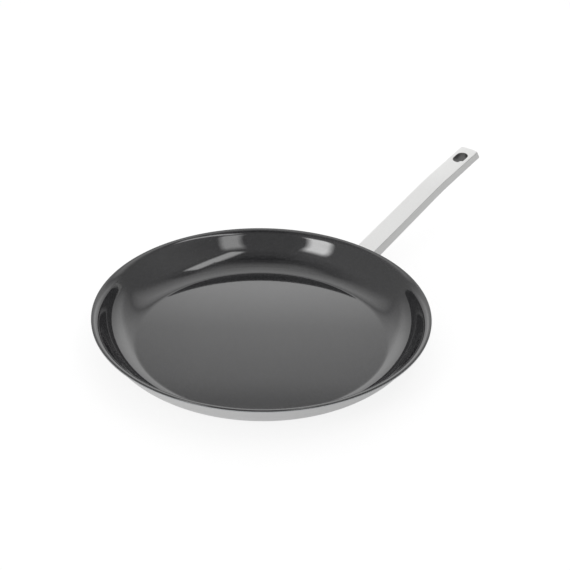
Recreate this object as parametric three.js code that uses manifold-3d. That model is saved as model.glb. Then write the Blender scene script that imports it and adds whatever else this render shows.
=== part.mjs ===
// Pancake pan: a shallow clad-steel pan, lined with a dark non-stick coat, with a welded flat-bar handle.
// Millimetres. +Z is up, +X runs along the handle, and the origin is on the pan's axis under the base.
import * as THREE from "three";
import { mergeVertices } from "three/addons/utils/BufferGeometryUtils.js";
import Module from "manifold-3d";

// Inside shape of the pan
const RIM_RADIUS = 144;
const INSIDE_DEPTH = 28.6;
const CORNER_RADIUS = 33.5;
const WALL_TILT = 61.4;
const LIP_BEND_RADIUS = 3;
const LIP_TILT = 20;
const LIP_LENGTH = 4.6;

// Layers of the sheet, from the inside out
const COAT = 0.2;
const INNER_PLY = 0.4;
const CORE = 1.4;
const OUTER_PLY = 0.5;
const BOND_CLEARANCE = 0.02;
const RIM_ROUND = 0.6;
const COAT_TURN_DOWN = 0.9;

// Handle
const HANDLE_REACH = 183;
const HANDLE_DROP = 8.6;
const HANDLE_WIDTH = 19;
const FOOT_WIDTH = 28;
const FOOT_SPREAD = 14;
const FOOT_BEYOND_RIM = 2;
const FOOT_THICKNESS = 12;
const TIP_THICKNESS = 9.8;
const RISE_ANGLE = 13.8;
const TIP_ANGLE = 9.9;
const ARCH_START = 104;
const ARCH_LENGTH = 30;
const TOP_EDGE_ROUND = 0.8;
const UNDER_EDGE_ROUND = 2;
const TIP_BULGE = 1;
const TIP_CORNER = 1.3;
const TIP_SLANT = 27;
const TIP_SLANT_LENGTH = 8;

// Hanging slot
const SLOT_LENGTH = 17;
const SLOT_WIDTH = 11.2;
const SLOT_FROM_TIP = 18;

// Welds between the wall and the foot of the handle
const WELD_GAP = 0.6;
const WELD_DIAMETER = 4;
const WELD_SPREAD = 13;
const WELD_UPPER_DROP = 14.4;
const WELD_LOWER_DROP = 19.9;
const SOCKET_DEPTH = 2;
const SOCKET_CLEARANCE = 0.3;

// Fineness of the facets
const SEGMENTS = 60;

const SHEET = COAT + INNER_PLY + CORE + OUTER_PLY;
const RIM_HEIGHT = SHEET + INSIDE_DEPTH;
const rad = THREE.MathUtils.degToRad;

const wasm = await Module();
wasm.setup();

const pan = new THREE.Group();
pan.name = "pancake_pan";

const dark = { color: 0x4a4a4b, roughness: 0.28, metalness: 0 };
const satin = { color: 0xb9b9b8, roughness: 0.34, metalness: 1 };
const bar = { color: 0xd6d6d4, roughness: 0.38, metalness: 1 };
const pale = { color: 0xc9cbcc, roughness: 0.5, metalness: 1 };

function piece(name, geometry, look) {
  geometry.computeVertexNormals();
  const mesh = new THREE.Mesh(geometry, new THREE.MeshStandardMaterial(look));
  mesh.name = name;
  pan.add(mesh);
  return mesh;
}

// Closed triangle list of a geometry, as a solid that can be cut
function solidOf(geometry) {
  const bare = new THREE.BufferGeometry();
  bare.setAttribute("position", geometry.getAttribute("position").clone());
  bare.setIndex(geometry.getIndex());
  const merged = mergeVertices(bare, 1e-4);
  const corners = merged.getIndex().array;
  const kept = [];
  for (let i = 0; i < corners.length; i += 3) {
    const [a, b, c] = corners.slice(i, i + 3);
    if (a !== b && b !== c && c !== a) kept.push(a, b, c);
  }
  return new wasm.Manifold(
    new wasm.Mesh({
      numProp: 3,
      vertProperties: new Float32Array(merged.getAttribute("position").array),
      triVerts: new Uint32Array(kept),
    }),
  );
}

function geometryOf(solid) {
  const mesh = solid.getMesh();
  const geometry = new THREE.BufferGeometry();
  geometry.setAttribute("position", new THREE.BufferAttribute(mesh.vertProperties, 3));
  geometry.setIndex(new THREE.BufferAttribute(mesh.triVerts, 1));
  return geometry;
}

// Inside face of the pan as stations of radius, height and tilt, from the edge of the floor to the lip
function insideStations() {
  const wall = rad(WALL_TILT);
  const lip = rad(LIP_TILT);
  const runs = [
    { steps: 5, from: 0, to: wall, length: CORNER_RADIUS * wall },
    { steps: 1, from: wall, to: wall, length: 0 },
    { steps: 3, from: wall, to: lip, length: LIP_BEND_RADIUS * (wall - lip) },
    { steps: 1, from: lip, to: lip, length: LIP_LENGTH },
  ];
  const across = (run) =>
    run.from === run.to
      ? run.length * Math.cos(run.from)
      : (run.length * (Math.sin(run.to) - Math.sin(run.from))) / (run.to - run.from);
  const rise = (run) =>
    run.from === run.to
      ? run.length * Math.sin(run.from)
      : (run.length * (Math.cos(run.from) - Math.cos(run.to))) / (run.to - run.from);
  const curved = runs.reduce((sum, run) => sum + rise(run), 0);
  runs[1].length = (INSIDE_DEPTH - curved) / Math.sin(wall);
  const width = runs.reduce((sum, run) => sum + across(run), 0);
  const edge = (SHEET - RIM_ROUND) * Math.sin(lip) + RIM_ROUND * (1 - Math.cos(lip));
  let r = RIM_RADIUS - edge - width;
  let z = SHEET;
  const stations = [{ r, z, tilt: 0 }];
  for (const run of runs) {
    for (let i = 0; i < run.steps; i++) {
      const from = run.from + ((run.to - run.from) * i) / run.steps;
      const to = run.from + ((run.to - run.from) * (i + 1)) / run.steps;
      const part = { from, to, length: run.length / run.steps };
      r += across(part);
      z += rise(part);
      stations.push({ r, z, tilt: to });
    }
  }
  return stations;
}

const stations = insideStations();

// The face that lies a given depth below the inside face, from the axis to the start of the rim's edge
function face(depth) {
  const points = stations.map(
    (s) => new THREE.Vector2(s.r + depth * Math.sin(s.tilt), s.z - depth * Math.cos(s.tilt)),
  );
  const last = points.pop();
  const lip = new THREE.Vector2(Math.cos(rad(LIP_TILT)), Math.sin(rad(LIP_TILT)));
  points.push(last.addScaledVector(lip, -RIM_ROUND));
  return [new THREE.Vector2(0, points[0].y), ...points];
}

// Points of the rounded rim edge. Depth and reach are measured from the metal's inside face at the lip
const lipEnd = stations[stations.length - 1];
const lipAlong = new THREE.Vector2(Math.cos(lipEnd.tilt), Math.sin(lipEnd.tilt));
const lipDown = new THREE.Vector2(Math.sin(lipEnd.tilt), -Math.cos(lipEnd.tilt));
function edgePoint(depth, reach) {
  return new THREE.Vector2(lipEnd.r, lipEnd.z)
    .addScaledVector(lipDown, COAT + depth)
    .addScaledVector(lipAlong, reach - RIM_ROUND);
}

const METAL = INNER_PLY + CORE + OUTER_PLY;
const innerTurn = Math.acos(Math.max(0, 1 - INNER_PLY / RIM_ROUND));
const outerTurn = Math.acos(Math.max(0, 1 - OUTER_PLY / RIM_ROUND));
const upperEdge = (turn, radius) =>
  edgePoint(RIM_ROUND - radius * Math.cos(turn), radius * Math.sin(turn));
const underEdge = (turn) =>
  edgePoint(METAL - RIM_ROUND + RIM_ROUND * Math.cos(turn), RIM_ROUND * Math.sin(turn));
const quarter = Math.PI / 2;
const coreTurn = (innerTurn + quarter) / 2;

// Turned layer between two depths, closed by the points of its own stretch of the rim's edge
function turned(topDepth, edge, underDepth, clearance) {
  const profile = [...face(topDepth), ...edge, ...face(underDepth - clearance).reverse()];
  const geometry = new THREE.LatheGeometry(profile.reverse(), SEGMENTS);
  return geometry.rotateX(quarter);
}

// Non-stick coat: covers the inside and turns a little way down the edge of the metal
const coatTurns = [innerTurn / 2, innerTurn, coreTurn, quarter];
const coatEdge = [
  ...coatTurns.map((turn) => upperEdge(turn, RIM_ROUND + COAT)),
  edgePoint(COAT_TURN_DOWN, RIM_ROUND + COAT),
  edgePoint(COAT_TURN_DOWN, RIM_ROUND),
  ...[...coatTurns].reverse().map((turn) => upperEdge(turn, RIM_ROUND)),
];
piece("nonstick_coating", turned(0, coatEdge, COAT, BOND_CLEARANCE), dark);

// Inner steel ply, under the coat
const innerEdge = [upperEdge(innerTurn / 2, RIM_ROUND), upperEdge(innerTurn, RIM_ROUND)];
const coreTop = COAT + INNER_PLY;
piece("inner_steel_ply", turned(COAT, innerEdge, coreTop, BOND_CLEARANCE), pale);

// Aluminium core, which spreads the heat out to the rim
const coreEdge = [
  upperEdge(innerTurn, RIM_ROUND),
  upperEdge(coreTurn, RIM_ROUND),
  upperEdge(quarter, RIM_ROUND),
  underEdge(quarter),
  underEdge(outerTurn),
];
const coreUnder = coreTop + CORE;
piece("aluminium_core", turned(coreTop, coreEdge, coreUnder, BOND_CLEARANCE), pale);

// Outer steel ply, with the flat base
const outerEdge = [underEdge(outerTurn), underEdge(outerTurn / 2)];
piece("outer_steel_ply", turned(coreUnder, outerEdge, SHEET, 0), satin);

// Handle, drawn as sections along its top line and closed at both ends
function handlePath() {
  const rise = rad(RISE_ANGLE);
  const tip = rad(TIP_ANGLE);
  const archStart = ARCH_START / Math.cos(rise);
  const archEnd = archStart + ARCH_LENGTH;
  const archRun = (ARCH_LENGTH * (Math.sin(rise) - Math.sin(tip))) / (rise - tip);
  const end = archEnd + (HANDLE_REACH - ARCH_START - archRun) / Math.cos(tip);
  const at = (u) => {
    const straight = Math.min(u, archStart);
    const bent = THREE.MathUtils.clamp(u - archStart, 0, ARCH_LENGTH);
    const beyond = Math.max(0, u - archEnd);
    const angle = rise + ((tip - rise) * bent) / ARCH_LENGTH;
    const mean = (rise + angle) / 2;
    const x = straight * Math.cos(rise) + bent * Math.cos(mean) + beyond * Math.cos(tip);
    const z = straight * Math.sin(rise) + bent * Math.sin(mean) + beyond * Math.sin(tip);
    return { x: RIM_RADIUS + x, z: RIM_HEIGHT - HANDLE_DROP + z, angle };
  };
  return { at, archStart, archEnd, end };
}

const path = handlePath();

// Width of the bar at a distance along it: spread at the foot, rounded at the tip
function barWidth(u) {
  const toTip = path.end - u;
  const half = HANDLE_WIDTH / 2;
  const chord = half - TIP_CORNER;
  if (toTip < TIP_BULGE) {
    const radius = (chord * chord + TIP_BULGE * TIP_BULGE) / (2 * TIP_BULGE);
    return 2 * Math.sqrt(Math.max(0, 2 * radius * toTip - toTip * toTip));
  }
  if (toTip < TIP_BULGE + TIP_CORNER) {
    const short = TIP_BULGE + TIP_CORNER - toTip;
    return 2 * (chord + Math.sqrt(TIP_CORNER * TIP_CORNER - short * short));
  }
  const spread = THREE.MathUtils.clamp((FOOT_BEYOND_RIM - u) / FOOT_SPREAD, 0, 1);
  const eased = spread * spread * (3 - 2 * spread);
  return HANDLE_WIDTH + (FOOT_WIDTH - HANDLE_WIDTH) * eased;
}

function barThickness(u) {
  const share = THREE.MathUtils.clamp(u / path.end, 0, 1);
  return THREE.MathUtils.lerp(FOOT_THICKNESS, TIP_THICKNESS, share);
}

// How far a rounded edge draws back from the tip
function setback(radius, toTip) {
  const short = Math.max(0, radius - toTip);
  return radius - Math.sqrt(Math.max(0, radius * radius - short * short));
}

// One section across the bar: a rectangle with its four long edges rounded. Near the tip it leans, so that
// the end of the bar is longer below than above
function barSection(u) {
  const { x, z, angle } = path.at(u);
  const toTip = path.end - u;
  const half = barWidth(u) / 2;
  const top = -setback(TOP_EDGE_ROUND, toTip);
  const under = -barThickness(u) + setback(UNDER_EDGE_ROUND, toTip);
  const topRound = Math.min(TOP_EDGE_ROUND, half * 0.9);
  const underRound = Math.min(UNDER_EDGE_ROUND, half * 0.9);
  const slanted = THREE.MathUtils.smoothstep(-toTip, -TIP_SLANT_LENGTH, 0);
  const slant = Math.tan(rad(TIP_SLANT)) * slanted;
  const outline = [];
  const corner = (cy, cn, radius, start, steps) => {
    for (let i = 0; i <= steps; i++) {
      const turn = start + (quarter * i) / steps;
      outline.push([cy + radius * Math.cos(turn), cn + radius * Math.sin(turn)]);
    }
  };
  corner(half - topRound, top - topRound, topRound, 0, 3);
  corner(-half + topRound, top - topRound, topRound, quarter, 3);
  corner(-half + underRound, under + underRound, underRound, 2 * quarter, 4);
  corner(half - underRound, under + underRound, underRound, 3 * quarter, 4);
  return outline.map(([y, n]) => {
    const along = -n * slant;
    return [
      x - n * Math.sin(angle) + along * Math.cos(angle),
      y,
      z + n * Math.cos(angle) + along * Math.sin(angle),
    ];
  });
}

function loft(sections) {
  const count = sections[0].length;
  const index = [];
  for (let s = 0; s + 1 < sections.length; s++) {
    for (let i = 0; i < count; i++) {
      const a = s * count + i;
      const b = s * count + ((i + 1) % count);
      index.push(a, b + count, a + count, a, b, b + count);
    }
  }
  const last = (sections.length - 1) * count;
  for (let i = 1; i + 1 < count; i++) {
    index.push(0, i + 1, i);
    index.push(last, last + i, last + i + 1);
  }
  const geometry = new THREE.BufferGeometry();
  geometry.setAttribute("position", new THREE.Float32BufferAttribute(sections.flat(2), 3));
  geometry.setIndex(index);
  return geometry;
}

function barStations() {
  const list = [-2 * FOOT_SPREAD];
  for (let i = 6; i >= 0; i--) list.push(FOOT_BEYOND_RIM - (FOOT_SPREAD * i) / 6);
  list.push(path.archStart);
  for (let i = 1; i < 4; i++) list.push(path.archStart + (ARCH_LENGTH * i) / 4);
  list.push(path.archEnd);
  for (const share of [1, 0.8, 0.6]) list.push(path.end - TIP_SLANT_LENGTH * share);
  for (const share of [1, 0.7, 0.4, 0.15]) list.push(path.end - TIP_BULGE - TIP_CORNER * share);
  for (const share of [1, 0.6, 0.3, 0.1, 0.03]) list.push(path.end - TIP_BULGE * share);
  return list;
}

// Everything inside the wall, grown by a gap, takes away the part of the bar that would enter the pan
function panEnvelope(gap) {
  const profile = [...face(SHEET + gap), new THREE.Vector2(0, RIM_HEIGHT + 40)];
  const rim = profile[profile.length - 2];
  profile.splice(-1, 0, new THREE.Vector2(rim.x, RIM_HEIGHT + 40));
  return new THREE.LatheGeometry(profile, SEGMENTS).rotateX(quarter);
}

// A round bar that stands on the outside of the wall, square to it
function wallPin(drop, y, diameter, length) {
  const depth = SHEET;
  const wanted = RIM_HEIGHT - drop;
  const near = stations.findIndex((s) => s.z - depth * Math.cos(s.tilt) > wanted);
  const [low, high] = [stations[near - 1], stations[near]];
  const lowZ = low.z - depth * Math.cos(low.tilt);
  const highZ = high.z - depth * Math.cos(high.tilt);
  const share = (wanted - lowZ) / (highZ - lowZ);
  const tilt = THREE.MathUtils.lerp(low.tilt, high.tilt, share);
  const radius = THREE.MathUtils.lerp(
    low.r + depth * Math.sin(low.tilt),
    high.r + depth * Math.sin(high.tilt),
    share,
  );
  const around = Math.asin(y / radius);
  const out = new THREE.Vector3(
    Math.sin(tilt) * Math.cos(around),
    Math.sin(tilt) * Math.sin(around),
    -Math.cos(tilt),
  );
  const foot = new THREE.Vector3(radius * Math.cos(around), y, wanted);
  const pin = new THREE.CylinderGeometry(diameter / 2, diameter / 2, length, 20);
  pin.translate(0, length / 2, 0);
  pin.applyQuaternion(new THREE.Quaternion().setFromUnitVectors(new THREE.Vector3(0, 1, 0), out));
  return pin.translate(foot.x, foot.y, foot.z);
}

const welds = [
  { name: "weld_upper_left", drop: WELD_UPPER_DROP, y: WELD_SPREAD / 2 },
  { name: "weld_upper_right", drop: WELD_UPPER_DROP, y: -WELD_SPREAD / 2 },
  { name: "weld_lower_left", drop: WELD_LOWER_DROP, y: WELD_SPREAD / 2 },
  { name: "weld_lower_right", drop: WELD_LOWER_DROP, y: -WELD_SPREAD / 2 },
];

// Hanging slot, cut square through the bar near its tip
function slotCutter() {
  const { x, z, angle } = path.at(path.end - SLOT_FROM_TIP);
  const half = SLOT_LENGTH / 2 - SLOT_WIDTH / 2;
  const outline = new THREE.Shape();
  outline.absarc(half, 0, SLOT_WIDTH / 2, -quarter, quarter);
  outline.absarc(-half, 0, SLOT_WIDTH / 2, quarter, 3 * quarter);
  const depth = 3 * FOOT_THICKNESS;
  const cutter = new THREE.ExtrudeGeometry(outline, { depth, bevelEnabled: false, curveSegments: 10 });
  cutter.translate(0, 0, -depth / 2);
  cutter.rotateY(-angle);
  return cutter.translate(x, 0, z);
}

let handle = solidOf(loft(barStations().map(barSection)));
handle = handle.subtract(solidOf(panEnvelope(WELD_GAP)));
handle = handle.subtract(solidOf(slotCutter()));
for (const weld of welds) {
  const bore = WELD_DIAMETER + 2 * SOCKET_CLEARANCE;
  handle = handle.subtract(solidOf(wallPin(weld.drop, weld.y, bore, WELD_GAP + SOCKET_DEPTH)));
}
piece("handle", geometryOf(handle), bar);

// Welds: the metal that joins wall and foot at four points
for (const weld of welds) {
  const length = WELD_GAP + SOCKET_DEPTH - SOCKET_CLEARANCE;
  piece(weld.name, wallPin(weld.drop, weld.y, WELD_DIAMETER, length), bar);
}

export default pan;
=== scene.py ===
"""Pancake pan: a shallow clad-steel pan with a dark non-stick lining and a welded flat-bar handle."""
import math

import bmesh
import bpy
from bpy.props import FloatProperty, FloatVectorProperty, IntProperty, PointerProperty
from mathutils import Matrix, Vector


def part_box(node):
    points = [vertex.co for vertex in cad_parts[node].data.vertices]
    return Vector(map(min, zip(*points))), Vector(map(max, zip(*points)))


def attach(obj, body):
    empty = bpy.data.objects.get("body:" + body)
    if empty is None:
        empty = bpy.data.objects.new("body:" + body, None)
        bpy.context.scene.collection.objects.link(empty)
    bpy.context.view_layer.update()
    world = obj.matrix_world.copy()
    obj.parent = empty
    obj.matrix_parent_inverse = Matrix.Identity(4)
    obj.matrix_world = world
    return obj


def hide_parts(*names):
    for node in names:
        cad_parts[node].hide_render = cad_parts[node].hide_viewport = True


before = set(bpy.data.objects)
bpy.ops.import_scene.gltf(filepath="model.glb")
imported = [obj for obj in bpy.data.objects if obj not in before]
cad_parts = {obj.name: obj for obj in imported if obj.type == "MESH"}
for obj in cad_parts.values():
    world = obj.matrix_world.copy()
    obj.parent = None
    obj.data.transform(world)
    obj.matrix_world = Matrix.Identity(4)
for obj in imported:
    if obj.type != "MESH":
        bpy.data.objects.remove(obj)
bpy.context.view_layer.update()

bl_info = {
    "name": "Pancake Pan",
    "version": (1, 0, 0),
    "blender": (4, 5, 0),
    "location": "3D View > Sidebar > Pancake Pan",
    "description": "Builds a shallow lined pan with a long flat-bar handle, and a plain studio round it",
    "category": "Add Mesh",
}

_, LINING_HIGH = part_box("nonstick_coating")
_, OUTSIDE_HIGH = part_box("outer_steel_ply")
QUARTER = math.pi / 2

# Edges with a sharper turn than this stay crisp
TURNED_CREASE = math.radians(50)
LOFT_CREASE = math.radians(30)
BAR_CREASE = math.radians(40)
WELD_CREASE = math.radians(40)

# Faces round a weld or its socket, the gap that keeps a weld's face off the wall, and its chamfer
WELD_STEPS = 40
WELD_STANDOFF = 0.00001
WELD_CHAMFER = 0.0004
# How far above the rim the pan's outside is cut out of the bar
CLEAR_ABOVE_RIM = 0.04
SENSOR_WIDTH_MM = 36
TABLE_REACH = 4
FRONT_BOX_DISTANCE = 2.4


def linear(code):
    """Linear colour of an sRGB hex code."""
    shares = [int(code[i:i + 2], 16) / 255 for i in (1, 3, 5)]
    return [s / 12.92 if s <= 0.04045 else ((s + 0.055) / 1.055) ** 2.4 for s in shares]


def length(name, default, description):
    return FloatProperty(name=name, default=default, description=description, unit="LENGTH", precision=5)


def angle(name, degrees, description):
    return FloatProperty(name=name, default=math.radians(degrees), description=description, subtype="ANGLE")


def colour(name, code, description):
    return FloatVectorProperty(
        name=name, default=linear(code), description=description, subtype="COLOR", min=0, max=1)


class PanShape(bpy.types.PropertyGroup):
    """Sizes of the turned pan"""
    rim_radius: length("Rim radius", OUTSIDE_HIGH.y, "Outermost edge of the rim")
    rim_height: length("Rim height", LINING_HIGH.z, "Top of the rim above the table")
    foot_radius: length("Foot radius", 0.012, "Tighter curve where the corner leaves the floor, inside")
    foot_tilt: angle("Foot tilt", 12.5, "Slope where the tighter curve ends")
    corner_radius: length("Corner radius", 0.0365, "Curve between that and the wall, inside")
    wall_tilt: angle("Wall tilt", 61.6, "Slope of the wall from the level")
    lip_bend_radius: length("Lip bend", 0.0095, "Curve from the wall out to the lip")
    lip_tilt: angle("Lip tilt", 29, "Slope of the lip where it turns over to the brim")
    brim_radius: length("Brim bend", 0.005, "Tighter curve from the lip to the brim")
    brim_tilt: angle("Brim tilt", 8, "Slope of the brim from the level")
    brim_length: length("Brim length", 0.0012, "Straight part of the brim")
    coat: length("Coat", 0.0002, "Thickness of the lining")
    inner_ply: length("Inner ply", 0.0004, "Thickness of the steel under the lining")
    core: length("Core", 0.0014, "Thickness of the aluminium layer")
    outer_ply: length("Outer ply", 0.0005, "Thickness of the outside steel")
    bond: length("Bond", 0.00002, "Bond line between two layers")
    rim_round: length("Rim round", 0.0006, "Rounding of the metal's edge at the rim")
    coat_turn_down: length("Coat turn-down", 0.0009, "How far the lining runs down the metal's edge at the rim")
    around: IntProperty(name="Steps around", default=288, min=48, description="Faces round the pan's axis")

    @property
    def sheet(self):
        return self.coat + self.inner_ply + self.core + self.outer_ply


class BarShape(bpy.types.PropertyGroup):
    """Sizes of the handle and its welds"""
    reach: length("Reach", 0.183, "From the rim to the tip, along the ground")
    drop: length("Drop", 0.0084, "Top of the bar under the rim's height, at the rim")
    width: length("Width", 0.019, "Width of the bar")
    foot_width: length("Foot width", 0.028, "Width of the foot at the wall")
    foot_spread: length("Foot spread", 0.014, "Length over which the foot widens")
    foot_beyond_rim: length("Foot beyond rim", 0.002, "Where the foot starts to widen, outside the rim")
    foot_thickness: length("Foot thickness", 0.012, "Thickness at the rim")
    tip_thickness: length("Tip thickness", 0.0098, "Thickness at the tip")
    rise: angle("Rise", 13.76, "Slope of the first part of the bar")
    tip_rise: angle("Tip rise", 9.9, "Slope of the last part of the bar")
    arch_start: length("Arch start", 0.104, "Where the bar starts to level out, from the rim")
    arch_length: length("Arch length", 0.03, "Length of the bend")
    top_edge: length("Top edge", 0.0006, "Rounding of the upper long edges")
    under_edge: length("Under edge", 0.002, "Rounding of the lower long edges")
    tip_bulge: length("Tip bulge", 0.001, "How far the end bows out, seen from above")
    tip_corner: length("Tip corner", 0.0013, "Rounding of the end's corners, seen from above")
    tip_slant: angle("Tip slant", 27, "How much the end leans out towards its lower edge")
    tip_slant_length: length("Slant length", 0.008, "Length over which the sections start to lean")
    slot_length: length("Slot length", 0.017, "Length of the hanging slot")
    slot_width: length("Slot width", 0.0112, "Width of the hanging slot")
    slot_from_tip: length("Slot from tip", 0.018, "Middle of the slot from the tip")
    slot_edge: length("Slot edge", 0.0005, "Broken edge of the slot and the foot")
    weld_gap: length("Weld gap", 0.0006, "Gap between the wall and the foot")
    weld_diameter: length("Weld diameter", 0.004, "Diameter of a weld")
    weld_spread: length("Weld spread", 0.013, "Distance between the welds, across the foot")
    weld_upper_drop: length("Upper welds", 0.0142, "Upper welds under the rim's height")
    weld_lower_drop: length("Lower welds", 0.0197, "Lower welds under the rim's height")
    socket_depth: length("Socket depth", 0.002, "How far a weld reaches into the foot")
    socket_clearance: length("Socket clearance", 0.0003, "Room round a weld in the foot")


class Finish(bpy.types.PropertyGroup):
    """Colours of the surfaces"""
    lining: colour("Lining", "#1b1b1c", "Dark grey of the non-stick coat")
    lining_fleck: colour("Lining fleck", "#3a3a3c", "Paler pigment in the non-stick coat")
    body_steel: colour("Body steel", "#e2e2e2", "Outside of the pan")
    bar_steel: colour("Bar steel", "#f6f6f5", "Handle")
    inner_steel: colour("Inner steel", "#c9c9c8", "Rolled steel under the lining")
    aluminium: colour("Aluminium", "#cdcfd0", "Rolled core")
    weld: colour("Weld", "#b4aea4", "Heat-tinted weld")
    floor: colour("Floor", "#f2f2f2", "Table")


class Studio(bpy.types.PropertyGroup):
    """Camera and light"""
    look_at: FloatVectorProperty(
        name="Look at", default=(0.04458, 0.01034, 0.0307), description="Point in the middle of the picture",
        subtype="TRANSLATION", unit="LENGTH")
    azimuth: angle("Azimuth", -52, "Direction of the camera round the pan")
    elevation: angle("Elevation", 31.23, "Camera above the level")
    roll: angle("Roll", 1.1, "Turn of the camera about its own axis")
    distance: length("Distance", 1.2, "Camera to the point looked at")
    focal: FloatProperty(name="Focal length", default=86.61, description="Lens, in mm on a 36 mm frame")
    fill: FloatProperty(name="Fill light", default=0.75, description="Level of the even light from all round")
    horizon: FloatProperty(name="Horizon light", default=1.0, description="Level of the white backdrop")


def settings():
    scene = bpy.context.scene
    return scene.pan_shape, scene.pan_bar, scene.pan_finish, scene.pan_studio


def add_node(tree, kind, inputs=None, stops=(), **options):
    """Adds a node, sets its options and its ramp's (place, level) stops, and sets or links its inputs."""
    made = tree.nodes.new(kind)
    for name, value in options.items():
        setattr(made, name, value)
    for name, value in (inputs or {}).items():
        if isinstance(value, bpy.types.NodeSocket):
            tree.links.new(value, made.inputs[name])
        else:
            made.inputs[name].default_value = value
    if stops:
        row = made.color_ramp.elements
        row.remove(row[-1])
        for place, _ in stops[1:]:
            row.new(place)
        for stop, (place, level) in zip(row, stops):
            stop.position, stop.color = place, (level, level, level, 1)
    return made


def new_material(name):
    material = bpy.data.materials.new(name)
    material.use_nodes = True
    material.node_tree.nodes.clear()
    return material, material.node_tree


def surface(tree, shader):
    add_node(tree, "ShaderNodeOutputMaterial", {"Surface": shader})


def opaque(rgb):
    return (*rgb, 1)


def per_length(size_mm):
    """Noise scale, in 1/m, of a pattern whose marks are so many mm apart."""
    return 1000 / size_mm


def lining_material():
    """Sol-gel ceramic non-stick coat, sprayed and baked.

    Half-gloss dark grey: clear reflections with soft edges, a faint orange peel, and paler pigment flecks.
    """
    _, _, finish, _ = settings()
    material, tree = new_material("nonstick_ceramic_sprayed")
    place = add_node(tree, "ShaderNodeTexCoord").outputs["Object"]
    # Flecks are about 0.1 mm on the real coat, and are drawn at 1.1 mm to show at all
    fleck = add_node(tree, "ShaderNodeTexNoise", {
        "Vector": place, "Scale": per_length(1.1), "Detail": 2.0, "Roughness": 0.6})
    # The spray goes on in passes some 45 mm wide, each a touch glossier or duller than the next
    cloud = add_node(tree, "ShaderNodeTexNoise", {"Vector": place, "Scale": per_length(45), "Detail": 3.0})
    fleck_share = add_node(tree, "ShaderNodeMapRange", {
        "Value": fleck.outputs["Fac"], "From Min": 0.45, "From Max": 0.75, "To Min": 0.0, "To Max": 1.0})
    tone = add_node(tree, "ShaderNodeMix", {
        "Factor": fleck_share.outputs["Result"], "A": opaque(finish.lining), "B": opaque(finish.lining_fleck)},
        data_type="RGBA")
    gloss = add_node(tree, "ShaderNodeMapRange", {
        "Value": cloud.outputs["Fac"], "From Min": 0.3, "From Max": 0.7, "To Min": 0.035, "To Max": 0.05})
    # Orange peel: crests some 2.2 mm apart
    peel = add_node(tree, "ShaderNodeTexNoise", {"Vector": place, "Scale": per_length(2.2), "Detail": 1.0})
    relief = add_node(tree, "ShaderNodeBump", {
        "Height": peel.outputs["Fac"], "Strength": 0.05, "Distance": 0.0001})
    shader = add_node(tree, "ShaderNodeBsdfPrincipled", {
        "Base Color": tone.outputs["Result"], "Roughness": gloss.outputs["Result"], "IOR": 2.0,
        "Normal": relief.outputs["Normal"]})
    surface(tree, shader.outputs["BSDF"])
    return material


def turned_steel_material():
    """Stainless steel, pressed and then brushed on a lathe.

    Satin, with fine lines that run round the axis and draw the reflections out across them.
    """
    pan, _, finish, _ = settings()
    material, tree = new_material("stainless_steel_brushed_round")
    place = add_node(tree, "ShaderNodeTexCoord").outputs["Object"]
    flat = add_node(tree, "ShaderNodeVectorMath", {0: place, 1: (1, 1, 0)}, operation="MULTIPLY")
    radius = add_node(tree, "ShaderNodeVectorMath", {0: flat.outputs["Vector"]}, operation="LENGTH")
    around = add_node(tree, "ShaderNodeVectorMath", {0: flat.outputs["Vector"]}, operation="NORMALIZE")
    height = add_node(tree, "ShaderNodeSeparateXYZ", {"Vector": place})
    down = add_node(tree, "ShaderNodeMath", {
        0: radius.outputs["Value"], 1: height.outputs["Z"]}, operation="ADD")
    # Grit lines are about 0.1 mm apart, and are drawn at 0.7 mm to show at all; each is some 60 mm long
    across = add_node(tree, "ShaderNodeMath", {
        0: down.outputs["Value"], 1: per_length(0.7)}, operation="MULTIPLY")
    turn = add_node(tree, "ShaderNodeVectorMath", {
        0: around.outputs["Vector"], "Scale": pan.rim_radius * per_length(60)}, operation="SCALE")
    lift = add_node(tree, "ShaderNodeCombineXYZ", {"Z": across.outputs["Value"]})
    line_place = add_node(tree, "ShaderNodeVectorMath", {
        0: turn.outputs["Vector"], 1: lift.outputs["Vector"]})
    lines = add_node(tree, "ShaderNodeTexNoise", {
        "Vector": line_place.outputs["Vector"], "Scale": 1.0, "Detail": 3.0, "Roughness": 0.65})
    tone = add_node(tree, "ShaderNodeMapRange", {
        "Value": lines.outputs["Fac"], "From Min": 0.3, "From Max": 0.7, "To Min": 0.93, "To Max": 1.0})
    shade = add_node(tree, "ShaderNodeVectorMath", {
        0: tuple(finish.body_steel), "Scale": tone.outputs["Result"]}, operation="SCALE")
    gloss = add_node(tree, "ShaderNodeMapRange", {
        "Value": lines.outputs["Fac"], "From Min": 0.3, "From Max": 0.7, "To Min": 0.27, "To Max": 0.37})
    relief = add_node(tree, "ShaderNodeBump", {
        "Height": lines.outputs["Fac"], "Strength": 0.1, "Distance": 0.00005})
    tangent = add_node(tree, "ShaderNodeTangent", direction_type="RADIAL", axis="Z")
    shader = add_node(tree, "ShaderNodeBsdfPrincipled", {
        "Base Color": shade.outputs["Vector"], "Metallic": 1.0, "Roughness": gloss.outputs["Result"],
        "Anisotropic": 0.5, "Tangent": tangent.outputs["Tangent"], "Normal": relief.outputs["Normal"]})
    surface(tree, shader.outputs["BSDF"])
    return material


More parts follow.
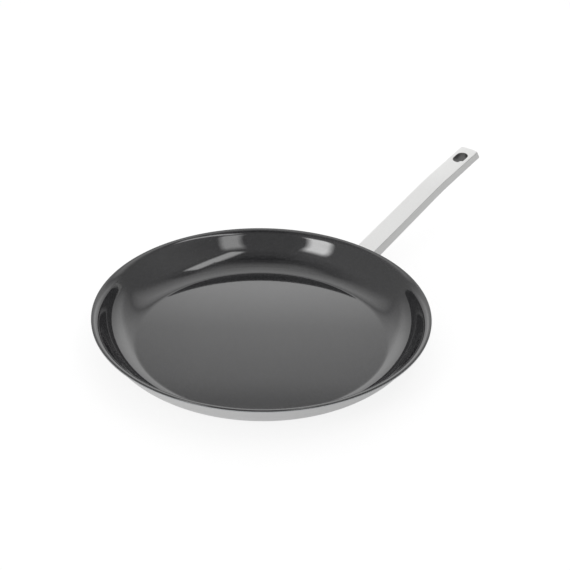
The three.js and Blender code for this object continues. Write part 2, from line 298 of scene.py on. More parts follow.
def bar_steel_material():
    """Cast stainless steel, linished along the bar.

    Pale satin: no clear reflections, only faint lines that run towards the tip. Its narrow sides and the slot's
    wall carry painted shade.
    """
    pan, bar, finish, _ = settings()
    material, tree = new_material("stainless_steel_linished_lengthwise")
    place = add_node(tree, "ShaderNodeTexCoord").outputs["Object"]
    # Belt lines are about 0.1 mm apart, and are drawn at 0.6 mm to show at all; each is some 40 mm long
    drawn = add_node(tree, "ShaderNodeVectorMath", {
        0: place, 1: (per_length(40), per_length(0.6), per_length(0.6))}, operation="MULTIPLY")
    lines = add_node(tree, "ShaderNodeTexNoise", {
        "Vector": drawn.outputs["Vector"], "Scale": 1.0, "Detail": 3.0, "Roughness": 0.65})
    tone = add_node(tree, "ShaderNodeMapRange", {
        "Value": lines.outputs["Fac"], "From Min": 0.3, "From Max": 0.7, "To Min": 0.95, "To Max": 1.0})
    # Painted shade: the slot's wall is drawn much darker than the rest of the bar, as shade inside the slot
    line = BarLine(pan, bar)
    x, z, slope = line.at(line.end - bar.slot_from_tip)
    slot = add_node(tree, "ShaderNodeMapping", {
        "Vector": place, "Location": (x, 0, z), "Rotation": (0, -slope, 0)}, vector_type="TEXTURE")
    folded = add_node(tree, "ShaderNodeVectorMath", {0: slot.outputs["Vector"]}, operation="ABSOLUTE")
    beside = add_node(tree, "ShaderNodeVectorMath", {
        0: folded.outputs["Vector"], 1: ((bar.slot_length - bar.slot_width) / 2, 0, 1)}, operation="SUBTRACT")
    clear = add_node(tree, "ShaderNodeVectorMath", {
        0: beside.outputs["Vector"], 1: (0, 0, 0)}, operation="MAXIMUM")
    apart = add_node(tree, "ShaderNodeVectorMath", {0: clear.outputs["Vector"]}, operation="LENGTH")
    slot_painted_shade = add_node(tree, "ShaderNodeMapRange", {
        "Value": apart.outputs["Value"], "From Min": bar.slot_width / 2 + 0.0001,
        "From Max": bar.slot_width / 2 + bar.slot_edge, "To Min": 0.28, "To Max": 1.0})
    facing = add_node(tree, "ShaderNodeTexCoord").outputs["Normal"]
    across = add_node(tree, "ShaderNodeSeparateXYZ", {"Vector": facing}).outputs["Y"]
    sideways = add_node(tree, "ShaderNodeMath", {0: across}, operation="ABSOLUTE")
    # Painted shade: the narrow sides, found by which way they face, are drawn a shade darker than the linished
    # top
    painted_side_shade = add_node(tree, "ShaderNodeMapRange", {
        "Value": sideways.outputs["Value"], "From Min": 0.6, "From Max": 0.95, "To Min": 1.0, "To Max": 0.86})
    # Linish lines times the painted shade in the slot
    lines_and_slot_shade = add_node(tree, "ShaderNodeMath", {
        0: tone.outputs["Result"], 1: slot_painted_shade.outputs["Result"]}, operation="MULTIPLY")
    bright = add_node(tree, "ShaderNodeMath", {
        0: lines_and_slot_shade.outputs["Value"], 1: painted_side_shade.outputs["Result"]}, operation="MULTIPLY")
    shade = add_node(tree, "ShaderNodeVectorMath", {
        0: tuple(finish.bar_steel), "Scale": bright.outputs["Value"]}, operation="SCALE")
    gloss = add_node(tree, "ShaderNodeMapRange", {
        "Value": lines.outputs["Fac"], "From Min": 0.3, "From Max": 0.7, "To Min": 0.36, "To Max": 0.44})
    relief = add_node(tree, "ShaderNodeBump", {
        "Height": lines.outputs["Fac"], "Strength": 0.08, "Distance": 0.00005})
    shader = add_node(tree, "ShaderNodeBsdfPrincipled", {
        "Base Color": shade.outputs["Vector"], "Metallic": 1.0, "Roughness": gloss.outputs["Result"],
        "Normal": relief.outputs["Normal"]})
    surface(tree, shader.outputs["BSDF"])
    return material


def rolled_metal_material(name, rgb, rough):
    """Rolled sheet, left as it came from the mill: dull, with faint lines along the strip."""
    material, tree = new_material(name)
    place = add_node(tree, "ShaderNodeTexCoord").outputs["Object"]
    # Roll lines are under 0.1 mm apart, and are drawn at 1.2 mm to show at all; each is some 60 mm long
    drawn = add_node(tree, "ShaderNodeVectorMath", {
        0: place, 1: (per_length(60), per_length(1.2), per_length(1.2))}, operation="MULTIPLY")
    lines = add_node(tree, "ShaderNodeTexNoise", {
        "Vector": drawn.outputs["Vector"], "Scale": 1.0, "Detail": 2.0})
    tone = add_node(tree, "ShaderNodeMapRange", {
        "Value": lines.outputs["Fac"], "From Min": 0.3, "From Max": 0.7, "To Min": 0.9, "To Max": 1.0})
    shade = add_node(tree, "ShaderNodeVectorMath", {
        0: tuple(rgb), "Scale": tone.outputs["Result"]}, operation="SCALE")
    gloss = add_node(tree, "ShaderNodeMapRange", {
        "Value": lines.outputs["Fac"], "From Min": 0.3, "From Max": 0.7,
        "To Min": rough - 0.05, "To Max": rough})
    shader = add_node(tree, "ShaderNodeBsdfPrincipled", {
        "Base Color": shade.outputs["Vector"], "Metallic": 1.0, "Roughness": gloss.outputs["Result"]})
    surface(tree, shader.outputs["BSDF"])
    return material


def weld_material():
    """Resistance weld, left as it was made: dull steel with straw-coloured heat tint."""
    _, _, finish, _ = settings()
    material, tree = new_material("stainless_steel_as_welded")
    place = add_node(tree, "ShaderNodeTexCoord").outputs["Object"]
    # Patches of scale, some 1.5 mm across
    scale_marks = add_node(tree, "ShaderNodeTexNoise", {
        "Vector": place, "Scale": per_length(1.5), "Detail": 3.0})
    tone = add_node(tree, "ShaderNodeMapRange", {
        "Value": scale_marks.outputs["Fac"], "From Min": 0.3, "From Max": 0.7, "To Min": 0.75, "To Max": 1.0})
    shade = add_node(tree, "ShaderNodeVectorMath", {
        0: tuple(finish.weld), "Scale": tone.outputs["Result"]}, operation="SCALE")
    shader = add_node(tree, "ShaderNodeBsdfPrincipled", {
        "Base Color": shade.outputs["Vector"], "Metallic": 1.0, "Roughness": 0.5})
    surface(tree, shader.outputs["BSDF"])
    return material


def place_piece(name, mesh, material, slot, *nodes):
    """Links a finished mesh as a piece that rides on the pan and stands for its CAD nodes."""
    piece = bpy.data.objects.new(name, mesh)
    bpy.context.scene.collection.objects.link(piece)
    mesh.materials.clear()
    mesh.materials.append(material)
    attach(piece, "root")
    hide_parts(*nodes)
    return piece


def finish_mesh(name, bm, sharp):
    """Turns a closed bmesh into a smooth-shaded mesh with its sharp edges kept."""
    bmesh.ops.recalc_face_normals(bm, faces=bm.faces)
    open_edges = [edge for edge in bm.edges if not edge.is_manifold]
    if open_edges:
        raise RuntimeError(f"{name} isn't closed: {len(open_edges)} open edges")
    mesh = bpy.data.meshes.new(name)
    bm.to_mesh(mesh)
    bm.free()
    mesh.shade_smooth()
    mesh.set_sharp_from_angle(angle=sharp)
    return mesh


def turned_bmesh(outline, steps):
    """Turns a line of (radius, height) points, which starts and ends on the axis, about Z."""
    bm = bmesh.new()
    rings = []
    for radius, height in outline:
        if radius < 1e-9:
            rings.append([bm.verts.new((0, 0, height))])
            continue
        turns = [2 * math.pi * i / steps for i in range(steps)]
        rings.append([bm.verts.new((radius * math.cos(t), radius * math.sin(t), height)) for t in turns])
    for near, far in zip(rings, rings[1:]):
        for i in range(steps):
            j = i + 1
            corners = [near[i % len(near)], near[j % len(near)], far[j % len(far)], far[i % len(far)]]
            corners = list(dict.fromkeys(corners))
            if len(corners) > 2:
                bm.faces.new(corners)
    return bm


class Profile:
    """The pan's section: stations of radius, height and tilt along the inside, and lines a depth below it."""

    def __init__(self, pan):
        self.pan = pan
        self.stations = self._inside()

    def _inside(self):
        pan = self.pan
        foot, wall, lip, brim = pan.foot_tilt, pan.wall_tilt, pan.lip_tilt, pan.brim_tilt
        # Steps, first tilt, last tilt and length; the straight wall takes the height that the curves leave
        curves_in = [
            (8, 0, foot, pan.foot_radius * foot),
            (20, foot, wall, pan.corner_radius * (wall - foot)),
        ]
        curves_out = [
            (14, wall, lip, pan.lip_bend_radius * (wall - lip)),
            (8, lip, brim, pan.brim_radius * (lip - brim)),
            (1, brim, brim, pan.brim_length),
        ]
        curved = sum(self._rise(*run[1:]) for run in curves_in + curves_out)
        depth = pan.rim_height - pan.sheet
        straight = (depth - self._top_of_edge() - curved) / math.sin(wall)
        runs = [*curves_in, (3, wall, wall, straight), *curves_out]
        width = sum(self._across(*run[1:]) for run in runs)
        # How far the metal's edge, or the coat over it, stands out past the end of the inside line
        metal = (pan.sheet - pan.rim_round) * math.sin(brim) + pan.rim_round * (1 - math.cos(brim))
        coat = (pan.coat + pan.coat_turn_down) * math.sin(brim) + pan.coat * math.cos(brim)
        r, z = pan.rim_radius - max(metal, coat) - width, pan.sheet
        # A ring just inside the floor's edge keeps the floor's shading level
        floor_ring = r - pan.corner_radius / 50
        stations = [(floor_ring, z, 0.0), (r, z, 0.0)]
        for steps, start, end, total in runs:
            for i in range(steps):
                a = start + (end - start) * i / steps
                b = start + (end - start) * (i + 1) / steps
                r += self._across(a, b, total / steps)
                z += self._rise(a, b, total / steps)
                stations.append((r, z, b))
        return stations

    def _top_of_edge(self):
        """How far the coat's rounded edge stands above the end of the inside line, or below it as a minus."""
        pan = self.pan
        radius, brim = pan.rim_round + pan.coat, pan.brim_tilt
        centre = -radius * math.cos(brim) - pan.rim_round * math.sin(brim)
        return centre + radius

    @staticmethod
    def _across(a, b, run):
        return run * math.cos(a) if a == b else run * (math.sin(b) - math.sin(a)) / (b - a)

    @staticmethod
    def _rise(a, b, run):
        return run * math.sin(a) if a == b else run * (math.cos(a) - math.cos(b)) / (b - a)

    def line(self, depth):
        """Points a depth below the inside line, from the axis to where the rim's edge starts to round."""
        pan = self.pan
        points = [(r + depth * math.sin(t), z - depth * math.cos(t)) for r, z, t in self.stations]
        r, z = points[-1]
        tilt, back = pan.brim_tilt, pan.rim_round
        points[-1] = (r - back * math.cos(tilt), z - back * math.sin(tilt))
        return [(0.0, points[0][1]), *points]

    def edge(self, depth, reach):
        """A point at the rim, a depth below the metal's inside face and a reach past the rounding's start."""
        pan = self.pan
        r, z, tilt = self.stations[-1]
        depth, reach = pan.coat + depth, reach - pan.rim_round
        return (r + depth * math.sin(tilt) + reach * math.cos(tilt),
                z - depth * math.cos(tilt) + reach * math.sin(tilt))

    def upper_edge(self, turn, radius):
        """A point on the rounding between the inside face and the edge."""
        return self.edge(self.pan.rim_round - radius * math.cos(turn), radius * math.sin(turn))

    def under_edge(self, turn):
        """A point on the rounding between the outside face and the edge."""
        pan = self.pan
        metal, radius = pan.inner_ply + pan.core + pan.outer_ply, pan.rim_round
        return self.edge(metal - radius + radius * math.cos(turn), radius * math.sin(turn))

    def turn_at(self, share):
        """Angle round the rim's edge that lies a thickness below the face it starts from."""
        return math.acos(max(0.0, 1 - share / self.pan.rim_round))

    def outside_at(self, height):
        """Radius and tilt of the outside of the wall at a height."""
        pan = self.pan
        rows = [(z - pan.sheet * math.cos(t), r + pan.sheet * math.sin(t), t) for r, z, t in self.stations]
        for low, high in zip(rows, rows[1:]):
            if low[0] <= height <= high[0]:
                share = (height - low[0]) / (high[0] - low[0])
                return tuple(a + (b - a) * share for a, b in zip(low[1:], high[1:]))
        raise RuntimeError(f"the wall has no point at a height of {height}")


def spread(start, end, steps):
    return [start + (end - start) * i / steps for i in range(steps + 1)]


class PANCAKE_OT_lining(bpy.types.Operator):
    """Non-stick lining: covers the inside and the lip, and turns a little way down the edge of the metal"""
    bl_idname = "pancake_pan.lining"
    bl_label = "Non-stick lining"

    def execute(self, context):
        pan, _, _, _ = settings()
        profile = Profile(pan)
        turns = spread(0, QUARTER, 8)
        outer = [profile.upper_edge(t, pan.rim_round + pan.coat) for t in turns[1:]]
        end = [profile.edge(pan.coat_turn_down, pan.rim_round + pan.coat),
               profile.edge(pan.coat_turn_down, pan.rim_round)]
        inner = [profile.upper_edge(t, pan.rim_round) for t in reversed(turns[1:])]
        outline = [*profile.line(0), *outer, *end, *inner, *reversed(profile.line(pan.coat - pan.bond))]
        mesh = finish_mesh("lining", turned_bmesh(outline, pan.around), TURNED_CREASE)
        place_piece("lining", mesh, lining_material(), "nonstick_coat", "nonstick_coating")
        return {"FINISHED"}


class PANCAKE_OT_clad_sheet(bpy.types.Operator):
    """Clad sheet: steel under the lining, aluminium core, and the satin steel outside with the base"""
    bl_idname = "pancake_pan.clad_sheet"
    bl_label = "Clad sheet"

    def execute(self, context):
        pan, _, finish, _ = settings()
        profile = Profile(pan)
        inner_turn, outer_turn = profile.turn_at(pan.inner_ply), profile.turn_at(pan.outer_ply)
        core_top = pan.coat + pan.inner_ply
        core_under = core_top + pan.core
        inner_edge = [profile.upper_edge(t, pan.rim_round) for t in spread(0, inner_turn, 4)[1:]]
        core_edge = [profile.upper_edge(t, pan.rim_round) for t in spread(inner_turn, QUARTER, 4)]
        core_edge += [profile.under_edge(t) for t in reversed(spread(outer_turn, QUARTER, 4))]
        outer_edge = [profile.under_edge(t) for t in reversed(spread(0, outer_turn, 4)[1:])]
        layers = [
            ("inner_ply", pan.coat, inner_edge, core_top - pan.bond, "inner_steel_ply", "inner_steel",
             rolled_metal_material("stainless_steel_rolled", finish.inner_steel, 0.4)),
            ("core", core_top, core_edge, core_under - pan.bond, "aluminium_core", "core_aluminium",
             rolled_metal_material("aluminium_rolled", finish.aluminium, 0.45)),
            ("outer_ply", core_under, outer_edge, pan.sheet, "outer_steel_ply", "satin_steel",
             turned_steel_material()),
        ]
        for name, top, edge, under, node, slot, material in layers:
            outline = [*profile.line(top), *edge, *reversed(profile.line(under))]
            mesh = finish_mesh(name, turned_bmesh(outline, pan.around), TURNED_CREASE)
            place_piece(name, mesh, material, slot, node)
        return {"FINISHED"}


class BarLine:
    """The top line of the handle from the rim outwards, and the bar's section along it."""

    def __init__(self, pan, bar):
        self.pan, self.bar = pan, bar
        self.arch_start = bar.arch_start / math.cos(bar.rise)
        self.arch_end = self.arch_start + bar.arch_length
        bent = bar.arch_length * (math.sin(bar.rise) - math.sin(bar.tip_rise)) / (bar.rise - bar.tip_rise)
        self.end = self.arch_end + (bar.reach - bar.arch_start - bent) / math.cos(bar.tip_rise)

    def at(self, u):
        """Place and slope of the top line at a distance along it."""
        pan, bar = self.pan, self.bar
        straight = min(u, self.arch_start)
        bent = min(max(u - self.arch_start, 0), bar.arch_length)
        beyond = max(0, u - self.arch_end)
        slope = bar.rise + (bar.tip_rise - bar.rise) * bent / bar.arch_length
        mean = (bar.rise + slope) / 2
        x = straight * math.cos(bar.rise) + bent * math.cos(mean) + beyond * math.cos(bar.tip_rise)
        z = straight * math.sin(bar.rise) + bent * math.sin(mean) + beyond * math.sin(bar.tip_rise)
        return pan.rim_radius + x, pan.rim_height - bar.drop + z, slope

    def half_width(self, u):
        bar = self.bar
        to_tip = self.end - u
        chord = bar.width / 2 - bar.tip_corner
        if to_tip < bar.tip_bulge:
            radius = (chord * chord + bar.tip_bulge ** 2) / (2 * bar.tip_bulge)
            return math.sqrt(max(0, 2 * radius * to_tip - to_tip * to_tip))
        if to_tip < bar.tip_bulge + bar.tip_corner:
            short = bar.tip_bulge + bar.tip_corner - to_tip
            return chord + math.sqrt(bar.tip_corner ** 2 - short * short)
        share = min(max((bar.foot_beyond_rim - u) / bar.foot_spread, 0), 1)
        eased = share * share * (3 - 2 * share)
        return (bar.width + (bar.foot_width - bar.width) * eased) / 2

    def thickness(self, u):
        share = min(max(u / self.end, 0), 1)
        return self.bar.foot_thickness + (self.bar.tip_thickness - self.bar.foot_thickness) * share

    def section(self, u):
        """Points round the bar at a distance along it: a rectangle with its four long edges rounded."""
        bar = self.bar
        x, z, slope = self.at(u)
        to_tip = self.end - u
        half = self.half_width(u)
        top = -self._setback(bar.top_edge, to_tip)
        under = -self.thickness(u) + self._setback(bar.under_edge, to_tip)
        roundest = half * 0.9
        top_round, under_round = min(bar.top_edge, roundest), min(bar.under_edge, roundest)
        leaning = min(max(1 - to_tip / bar.tip_slant_length, 0), 1)
        lean = math.tan(bar.tip_slant) * leaning * leaning * (3 - 2 * leaning)
        corners = [
            (half - top_round, top - top_round, top_round, 0, 5),
            (-half + top_round, top - top_round, top_round, QUARTER, 5),
            (-half + under_round, under + under_round, under_round, 2 * QUARTER, 7),
            (half - under_round, under + under_round, under_round, 3 * QUARTER, 7),
        ]
        points = []
        for across, down, radius, start, steps in corners:
            for turn in spread(start, start + QUARTER, steps):
                y, n = across + radius * math.cos(turn), down + radius * math.sin(turn)
                along = -n * lean
                points.append((x - n * math.sin(slope) + along * math.cos(slope), y,
                               z + n * math.cos(slope) + along * math.sin(slope)))
        return points

    @staticmethod
    def _setback(radius, to_tip):
        """How far a rounded edge of the end has come in at a distance from the tip."""
        short = max(0, radius - to_tip)
        return radius - math.sqrt(max(0, radius * radius - short * short))

    def distances(self):
        """Where along the bar its sections stand: close together where its shape changes."""
        bar = self.bar
        tip = self.end - bar.tip_bulge
        rows = [-2 * bar.foot_spread]
        rows += spread(bar.foot_beyond_rim - bar.foot_spread, bar.foot_beyond_rim, 14)
        rows += spread(self.arch_start, self.arch_end, 10)
        rows += [self.end - bar.tip_slant_length * share for share in (1, 0.9, 0.8, 0.7, 0.6, 0.5, 0.4)]
        rows += [tip - bar.tip_corner * share for share in (1, 0.8, 0.6, 0.4, 0.25, 0.12, 0.04)]
        rows += [self.end - bar.tip_bulge * share for share in (1, 0.75, 0.5, 0.3, 0.15, 0.06, 0.02)]
        return rows


def lofted_bmesh(sections):
    """Joins sections with as many points each, and closes both ends."""
    bm = bmesh.new()
    rings = [[bm.verts.new(point) for point in section] for section in sections]
    count = len(rings[0])
    for near, far in zip(rings, rings[1:]):
        for i in range(count):
            bm.faces.new((near[i], near[(i + 1) % count], far[(i + 1) % count], far[i]))
    bm.faces.new(rings[0])
    bm.faces.new(rings[-1])
    return bm


def wall_frame(profile, pan, drop, y):
    """Place on the outside of the wall, with Z square out of it."""
    height = pan.rim_height - drop
    radius, tilt = profile.outside_at(height)
    turn = math.asin(y / radius)
    out = Vector((math.sin(tilt) * math.cos(turn), math.sin(tilt) * math.sin(turn), -math.cos(tilt)))
    frame_turn = out.to_track_quat("Z", "Y").to_matrix().to_4x4()
    return Matrix.Translation((radius * math.cos(turn), y, height)) @ frame_turn


def weld_places(bar):
    rows = (("upper", bar.weld_upper_drop), ("lower", bar.weld_lower_drop))
    sides = (("left", bar.weld_spread / 2), ("right", -bar.weld_spread / 2))
    return [(f"weld_{row}_{side}", drop, y) for row, drop in rows for side, y in sides]


def slot_bmesh(line, bar):
    """Oblong plug that stands square through the bar near its tip."""
    x, z, slope = line.at(line.end - bar.slot_from_tip)
    radius, half = bar.slot_width / 2, (bar.slot_length - bar.slot_width) / 2
    outline = [(side * half + radius * math.cos(t), radius * math.sin(t))
               for side, start in ((1, -QUARTER), (-1, QUARTER))
               for t in spread(start, start + 2 * QUARTER, 28)]
    reach = 2 * bar.foot_thickness
    stand = Matrix.Translation((x, 0, z)) @ Matrix.Rotation(-slope, 4, "Y")
    return lofted_bmesh([[stand @ Vector((a, b, h)) for a, b in outline] for h in (-reach, reach)])


def cut(piece, bm, name):
    """Takes a closed shape out of a piece."""
    bmesh.ops.recalc_face_normals(bm, faces=bm.faces)
    mesh = bpy.data.meshes.new(name)
    bm.to_mesh(mesh)
    bm.free()
    tool = bpy.data.objects.new(name, mesh)
    bpy.context.scene.collection.objects.link(tool)
    modifier = piece.modifiers.new(name, "BOOLEAN")
    modifier.operation, modifier.solver, modifier.object = "DIFFERENCE", "EXACT", tool
    bake(piece)
    bpy.data.objects.remove(tool)
    bpy.data.meshes.remove(mesh)


def bake(piece):
    """Turns a piece's modifiers into its mesh."""
    graph = bpy.context.evaluated_depsgraph_get()
    made = bpy.data.meshes.new_from_object(piece.evaluated_get(graph))
    old = piece.data
    piece.modifiers.clear()
    piece.data = made
    bpy.data.meshes.remove(old)


class PANCAKE_OT_handle(bpy.types.Operator):
    """Handle: one bar with a foot that fits the wall, a gentle arch, a leaning end and a hanging slot"""
    bl_idname = "pancake_pan.handle"
    bl_label = "Handle"

    def execute(self, context):
        pan, bar, _, _ = settings()
        profile, line = Profile(pan), BarLine(pan, bar)
        loft = lofted_bmesh([line.section(u) for u in line.distances()])
        mesh = finish_mesh("handle_bar", loft, LOFT_CREASE)
        piece = place_piece("handle_bar", mesh, bar_steel_material(), "handle_steel", "handle")
        above = pan.rim_height + CLEAR_ABOVE_RIM
        wall = profile.line(pan.sheet + bar.weld_gap)
        cut(piece, turned_bmesh([*wall, (wall[-1][0], above), (0, above)], pan.around), "wall_envelope")
        cut(piece, slot_bmesh(line, bar), "slot")
        for name, drop, y in weld_places(bar):
            radius = bar.weld_diameter / 2 + bar.socket_clearance
            deep = bar.weld_gap + bar.socket_depth
            socket = turned_bmesh([(0, -deep), (radius, -deep), (radius, deep), (0, deep)], WELD_STEPS)
            socket.transform(wall_frame(profile, pan, drop, y))
            cut(piece, socket, name + "_socket")
        edges = piece.modifiers.new("broken_edges", "BEVEL")
        edges.width, edges.segments, edges.limit_method = bar.slot_edge, 3, "ANGLE"
        edges.angle_limit = BAR_CREASE
        bake(piece)
        piece.data.shade_smooth()
        piece.data.set_sharp_from_angle(angle=BAR_CREASE)
        flats = piece.modifiers.new("even_flats", "WEIGHTED_NORMAL")
        flats.keep_sharp = True
        return {"FINISHED"}


class PANCAKE_OT_welds(bpy.types.Operator):
    """Welds: four nuggets that join the wall and the foot of the handle"""
    bl_idname = "pancake_pan.welds"
    bl_label = "Welds"

    def execute(self, context):
        pan, bar, _, _ = settings()
        profile, material = Profile(pan), weld_material()
        radius = bar.weld_diameter / 2
        deep = bar.weld_gap + bar.socket_depth - bar.socket_clearance
        waist, collar = radius * 0.86, deep * 0.3
        outline = [(0, WELD_STANDOFF), (radius, WELD_STANDOFF)]
        outline += [(waist + (radius - waist) * (1 - math.sin(t)), collar * (1 - math.cos(t)))
                    for t in spread(0.1, QUARTER, 6)]
        outline += [(waist, deep - WELD_CHAMFER), (waist - WELD_CHAMFER, deep), (0, deep)]
        for name, drop, y in weld_places(bar):
            bm = turned_bmesh(outline, WELD_STEPS)
            bm.transform(wall_frame(profile, pan, drop, y))
            mesh = finish_mesh(name, bm, WELD_CREASE)
            place_piece(name + "_nugget", mesh, material, "weld_steel", name)
        return {"FINISHED"}


def card_material(name, level, across, upwards):
    """Light through white cloth: a level, times a ramp across the card and one up it. Unlit, it is clear."""
    material, tree = new_material(name)
    place = add_node(tree, "ShaderNodeTexCoord").outputs["Generated"]
    parts = add_node(tree, "ShaderNodeSeparateXYZ", {"Vector": place}).outputs
    wide = add_node(tree, "ShaderNodeValToRGB", {"Fac": parts["X"]}, stops=across)
    high = add_node(tree, "ShaderNodeValToRGB", {"Fac": parts["Y"]}, stops=upwards)
    both = add_node(tree, "ShaderNodeVectorMath", {
        0: wide.outputs["Color"], 1: high.outputs["Color"]}, operation="MULTIPLY")
    glow = add_node(tree, "ShaderNodeEmission", {"Color": both.outputs["Vector"], "Strength": level})
    clear = add_node(tree, "ShaderNodeBsdfTransparent")
    lit = add_node(tree, "ShaderNodeAddShader", {0: clear.outputs["BSDF"], 1: glow.outputs["Emission"]})
    surface(tree, lit.outputs["Shader"])
    return material


def stage_card(name, centre, normal, upwards, width, height, material):
    """A flat lit card that faces along a normal and is kept out of the picture."""
    bm = bmesh.new()
    bmesh.ops.create_grid(bm, x_segments=1, y_segments=1, size=0.5)
    mesh = bpy.data.meshes.new(name)
    bm.to_mesh(mesh)
    bm.free()
    card = bpy.data.objects.new(name, mesh)
    bpy.context.scene.collection.objects.link(card)
    side = upwards.cross(normal).normalized()
    axes = Matrix((side, normal.cross(side), normal)).transposed().to_4x4()
    card.matrix_world = Matrix.Translation(centre) @ axes @ Matrix.Diagonal((width, height, 1, 1))
    card.visible_camera = False
    mesh.materials.append(material)


class PANCAKE_OT_stage(bpy.types.Operator):
    """Stage: pale table, white background, soft lights and the camera"""
    bl_idname = "pancake_pan.stage"
    bl_label = "Studio"

    def execute(self, context):
        _, _, _, studio = settings()
        scene = context.scene
        scene.view_settings.view_transform = "Standard"
        self.add_camera(scene, studio)
        self.add_floor()
        self.add_world(scene, studio)
        self.add_lights(studio)
        return {"FINISHED"}

    def add_camera(self, scene, studio):
        data = bpy.data.cameras.new("camera")
        data.sensor_width, data.lens = SENSOR_WIDTH_MM, studio.focal
        camera = bpy.data.objects.new("camera", data)
        scene.collection.objects.link(camera)
        a, e = studio.azimuth, studio.elevation
        back = Vector((math.sin(a) * math.cos(e), -math.cos(a) * math.cos(e), math.sin(e)))
        side = Vector((math.cos(a), math.sin(a), 0))
        axes = Matrix((side, back.cross(side), back)).transposed().to_4x4()
        place = Matrix.Translation(Vector(studio.look_at) + studio.distance * back)
        camera.matrix_world = place @ axes @ Matrix.Rotation(studio.roll, 4, "Z")
        scene.camera = camera

    @staticmethod
    def seen_directly(tree):
        """1 for rays that show the background: from the camera, or by way of a reflection or through glass."""
        path = add_node(tree, "ShaderNodeLightPath").outputs
        either = add_node(tree, "ShaderNodeMath", {
            0: path["Is Camera Ray"], 1: path["Is Glossy Ray"]}, operation="ADD", use_clamp=True)
        shown = add_node(tree, "ShaderNodeMath", {
            0: either.outputs["Value"], 1: path["Is Transmission Ray"]}, operation="ADD", use_clamp=True)
        return shown.outputs["Value"]

    def add_floor(self):
        """Matt white table. To the eye, much of its white is its own, so that the shadow on it stays pale."""
        _, _, finish, studio = settings()
        bm = bmesh.new()
        bmesh.ops.create_grid(bm, x_segments=2, y_segments=2, size=TABLE_REACH)
        mesh = bpy.data.meshes.new("table")
        bm.to_mesh(mesh)
        bm.free()
        table = bpy.data.objects.new("table", mesh)
        bpy.context.scene.collection.objects.link(table)
        material, tree = new_material("laminate_table_matt_white")
        matt = add_node(tree, "ShaderNodeBsdfDiffuse", {"Color": opaque(finish.floor)})
        camera = add_node(tree, "ShaderNodeLightPath").outputs["Is Camera Ray"]
        place = add_node(tree, "ShaderNodeTexCoord").outputs["Object"]
        turned = add_node(tree, "ShaderNodeVectorRotate", {"Vector": place, "Angle": -studio.azimuth},
                          rotation_type="Z_AXIS")
        parts = add_node(tree, "ShaderNodeSeparateXYZ", {"Vector": turned.outputs["Vector"]}).outputs
        # Painted light: to reflections the table's own glow is lower than to the camera and brighter to the
        # left, so that steel mirrors it paler there
        painted_left_glow = add_node(tree, "ShaderNodeMapRange", {
            "Value": parts["X"], "From Min": -0.12, "From Max": 0.12, "To Min": 0.6, "To Max": 0.43})
        own = add_node(tree, "ShaderNodeMapRange", {
            "Value": camera, "To Min": painted_left_glow.outputs["Result"], "To Max": 0.9})
        glow = add_node(tree, "ShaderNodeEmission", {
            "Color": opaque(finish.floor), "Strength": own.outputs["Result"]})
        shaded = add_node(tree, "ShaderNodeBsdfDiffuse", {"Color": (0.22, 0.22, 0.22, 1)})
        pale = add_node(tree, "ShaderNodeAddShader", {0: shaded.outputs["BSDF"], 1: glow.outputs["Emission"]})
        look = add_node(tree, "ShaderNodeMixShader", {
            "Fac": self.seen_directly(tree), 1: matt.outputs["BSDF"], 2: pale.outputs["Shader"]})
        surface(tree, look.outputs["Shader"])
        mesh.materials.append(material)

    def add_world(self, scene, studio):
        """Grey walls in reflections, an even white as soft light, and a white background for the camera."""
        world = bpy.data.worlds.new("studio")
        scene.world = world
        world.use_nodes = True
        tree = world.node_tree
        tree.nodes.clear()
        path = add_node(tree, "ShaderNodeLightPath").outputs
        direction = add_node(tree, "ShaderNodeTexCoord").outputs["Generated"]
        turned = add_node(tree, "ShaderNodeVectorRotate", {"Vector": direction, "Angle": -studio.azimuth},
                          rotation_type="Z_AXIS")
        parts = add_node(tree, "ShaderNodeSeparateXYZ", {"Vector": turned.outputs["Vector"]}).outputs
        bearing = add_node(tree, "ShaderNodeMath", {0: parts["X"], 1: parts["Y"]}, operation="ARCTAN2")
        share = add_node(tree, "ShaderNodeMapRange", {
            "Value": bearing.outputs["Value"], "From Min": -math.pi, "From Max": math.pi})
        # From the camera round by the left, the back and the right
        walls = add_node(tree, "ShaderNodeValToRGB", {"Fac": share.outputs["Result"]}, stops=[
            (0, 0.27), (0.06, 0.27), (0.13, 0.4), (0.31, 0.36), (0.5, 0.3), (0.67, 0.28), (0.79, 0.39),
            (0.92, 0.27), (1, 0.27)])
        # From the level to straight up, where the ceiling is dark
        height = add_node(tree, "ShaderNodeValToRGB", {"Fac": parts["Z"]}, stops=[
            (0, 1), (0.67, 1), (0.77, 0.98), (0.91, 0.63), (1, 0.02)])
        room = add_node(tree, "ShaderNodeVectorMath", {
            0: walls.outputs["Color"], 1: height.outputs["Color"]}, operation="MULTIPLY")
        even = add_node(tree, "ShaderNodeMix", {
            "Factor": path["Is Diffuse Ray"], "A": studio.horizon, "B": studio.fill})
        level = add_node(tree, "ShaderNodeMix", {
            "Factor": path["Is Glossy Ray"], "A": even.outputs["Result"], "B": room.outputs["Vector"]},
            data_type="RGBA")
        light = add_node(tree, "ShaderNodeBackground", {"Color": level.outputs["Result"]})
        add_node(tree, "ShaderNodeOutputWorld", {"Surface": light.outputs["Background"]})

    @staticmethod
    def towards(bearing, elevation):
        """Direction from the pan, by its bearing from straight behind it and its height above the level."""
        a, e = math.radians(bearing), math.radians(elevation)
        return Vector((math.sin(a) * math.cos(e), math.cos(a) * math.cos(e), math.sin(e)))

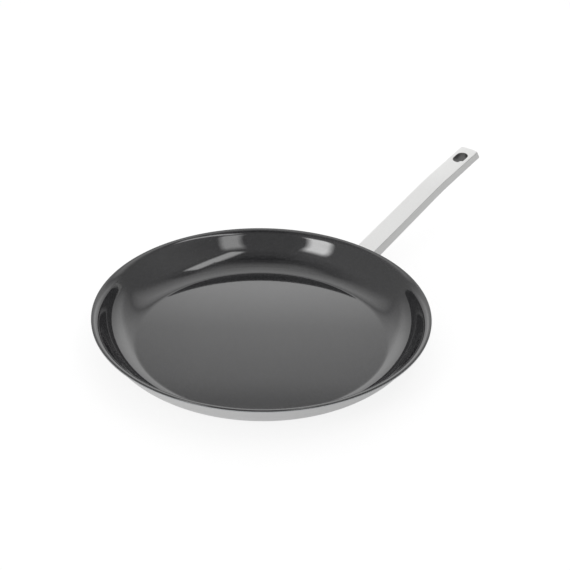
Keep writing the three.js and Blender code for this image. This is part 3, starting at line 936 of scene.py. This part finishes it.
    def add_lights(self, studio):
        """Glow on the back wall, a long soft box over the right side, two at the front and a dim one overhead.

        Places are seen from the camera: X to the right, Y away from it, Z up from the table. Each light has a
        row of (share of the way, level) across it and one along it, which say how it fades.
        """
        turn = Matrix.Rotation(studio.azimuth, 3, "Z")
        ahead, up = Vector((0, 1, 0)), Vector((0, 0, 1))
        along_strip = Vector((0.19, 1, 0)).normalized()
        front_left, front_right = self.towards(-136.7, 31.3), self.towards(154.4, 33.5)
        soft = [(0, 0), (0.25, 1), (0.75, 1), (1, 0)]
        long = [(0, 0), (0.1, 1), (0.93, 1), (1, 0)]
        rising = [(0, 0.1), (0.2, 0.2), (0.41, 0.62), (0.61, 1), (0.8, 1), (1, 0)]
        round_off = [(0, 0), (0.08, 0.05), (0.22, 0.5), (0.36, 0.95), (0.64, 0.95), (0.78, 0.5), (0.92, 0.05),
                     (1, 0)]
        bell = [(0, 0), (0.15, 0.05), (0.28, 0.3), (0.38, 0.6), (0.44, 0.84), (0.49, 0.9), (0.54, 0.86),
                (0.61, 0.66), (0.72, 0.44), (0.88, 0.09), (1, 0)]
        # A bright foot, a dark gap above it, and a paler part that fades out
        banded = [(0, 0.56), (0.035, 0.46), (0.09, 0.93), (0.11, 0.98), (0.135, 0.54), (0.17, 0.35),
                  (0.187, 0.11), (0.205, 0.43), (0.24, 0.74), (0.43, 0.6), (0.52, 0.48), (0.63, 0)]
        cards = (
            ("back_wall", (0.024, 0.5125, 1.2), ahead, up, 1.9, 2.4, 1.25, bell, banded),
            ("strip_box", (0.38, -0.21, 1.03), up, along_strip, 0.25, 0.88, 1.97, soft, long),
            ("front_left_box", front_left * FRONT_BOX_DISTANCE, front_left, up, 0.87, 1.5, 4.5,
             soft, round_off),
            ("front_right_box", front_right * FRONT_BOX_DISTANCE, front_right, up, 0.74, 1.55, 1.68,
             soft, round_off),
            ("top_box", (0, 0.22, 1.03), up, ahead, 0.7, 0.54, 0.52, soft, rising),
        )
        for name, centre, out, upwards, width, height, level, across, along in cards:
            stage_card(name, turn @ Vector(centre), turn @ -out, turn @ upwards, width, height,
                       card_material(name + "_cloth_lit", level, across, along))


class PANCAKE_PT_panel(bpy.types.Panel):
    """Sizes, colours and steps of the pancake pan"""
    bl_idname = "PANCAKE_PT_panel"
    bl_label = "Pancake Pan"
    bl_space_type = "VIEW_3D"
    bl_region_type = "UI"
    bl_category = "Pancake Pan"

    def draw(self, context):
        for operator in OPERATORS:
            self.layout.operator(operator.bl_idname)
        for group in settings():
            box = self.layout.box()
            for name in group.__annotations__:
                box.prop(group, name)


OPERATORS = (PANCAKE_OT_stage, PANCAKE_OT_lining, PANCAKE_OT_clad_sheet, PANCAKE_OT_handle, PANCAKE_OT_welds)
GROUPS = {"pan_shape": PanShape, "pan_bar": BarShape, "pan_finish": Finish, "pan_studio": Studio}


def register():
    for group in GROUPS.values():
        bpy.utils.register_class(group)
    for name, group in GROUPS.items():
        setattr(bpy.types.Scene, name, PointerProperty(type=group))
    for operator in OPERATORS:
        bpy.utils.register_class(operator)
    bpy.utils.register_class(PANCAKE_PT_panel)


def unregister():
    bpy.utils.unregister_class(PANCAKE_PT_panel)
    for operator in reversed(OPERATORS):
        bpy.utils.unregister_class(operator)
    for name, group in GROUPS.items():
        delattr(bpy.types.Scene, name)
        bpy.utils.unregister_class(group)


def main():
    register()
    bpy.ops.pancake_pan.stage()
    bpy.ops.pancake_pan.lining()
    bpy.ops.pancake_pan.clad_sheet()
    bpy.ops.pancake_pan.handle()
    bpy.ops.pancake_pan.welds()


if __name__ == "__main__":
    main()
